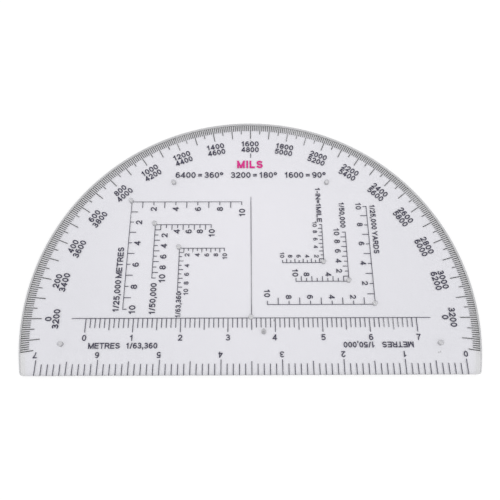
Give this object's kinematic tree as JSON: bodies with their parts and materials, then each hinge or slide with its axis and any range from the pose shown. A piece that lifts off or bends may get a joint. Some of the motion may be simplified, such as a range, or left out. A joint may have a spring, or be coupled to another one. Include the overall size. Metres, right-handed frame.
{
  "type": "map protractor",
  "caption": "Clear semicircular map protractor with a mils scale round its arc, kilometre scales along its straight edge and nested romers, printed behind a plastic plate and sealed in by a thin sheet.",
  "frame": {"origin": "middle of the outline's bounding box, on the back face that lies on the map", "axes": "+X along the ruling edge, +Y from the ruling edge to the top of the arc, +Z out of the printed front face"},
  "size_m": [0.152, 0.0948, 0.0015],
  "materials": {
    "clear_sheet": "clear gloss plastic sheet with a faint lavender-grey tint",
    "ring_ink": "flat neutral black printing ink",
    "dark_ink": "flat blue-black printing ink",
    "magenta_ink": "flat magenta printing ink"
  },
  "bodies": {
    "root": {"back_sheet": "clear_sheet", "front_sheet": "clear_sheet", "mils_ring": "ring_ink", "edge_scale": "dark_ink", "inner_scale_left": "dark_ink", "inner_scale_right": "dark_ink", "inner_scale_centre_tick": "dark_ink", "index_line": "dark_ink", "index_tick": "dark_ink", "romer_25k_metres_across": "dark_ink", "romer_25k_metres_down": "dark_ink", "romer_50k_metres": "dark_ink", "romer_63k_metres": "dark_ink", "romer_25k_yards_across": "dark_ink", "romer_25k_yards_up": "dark_ink", "romer_50k_yards": "dark_ink", "romer_inch_mile_yards": "dark_ink"}
  },
  "joints": []
}
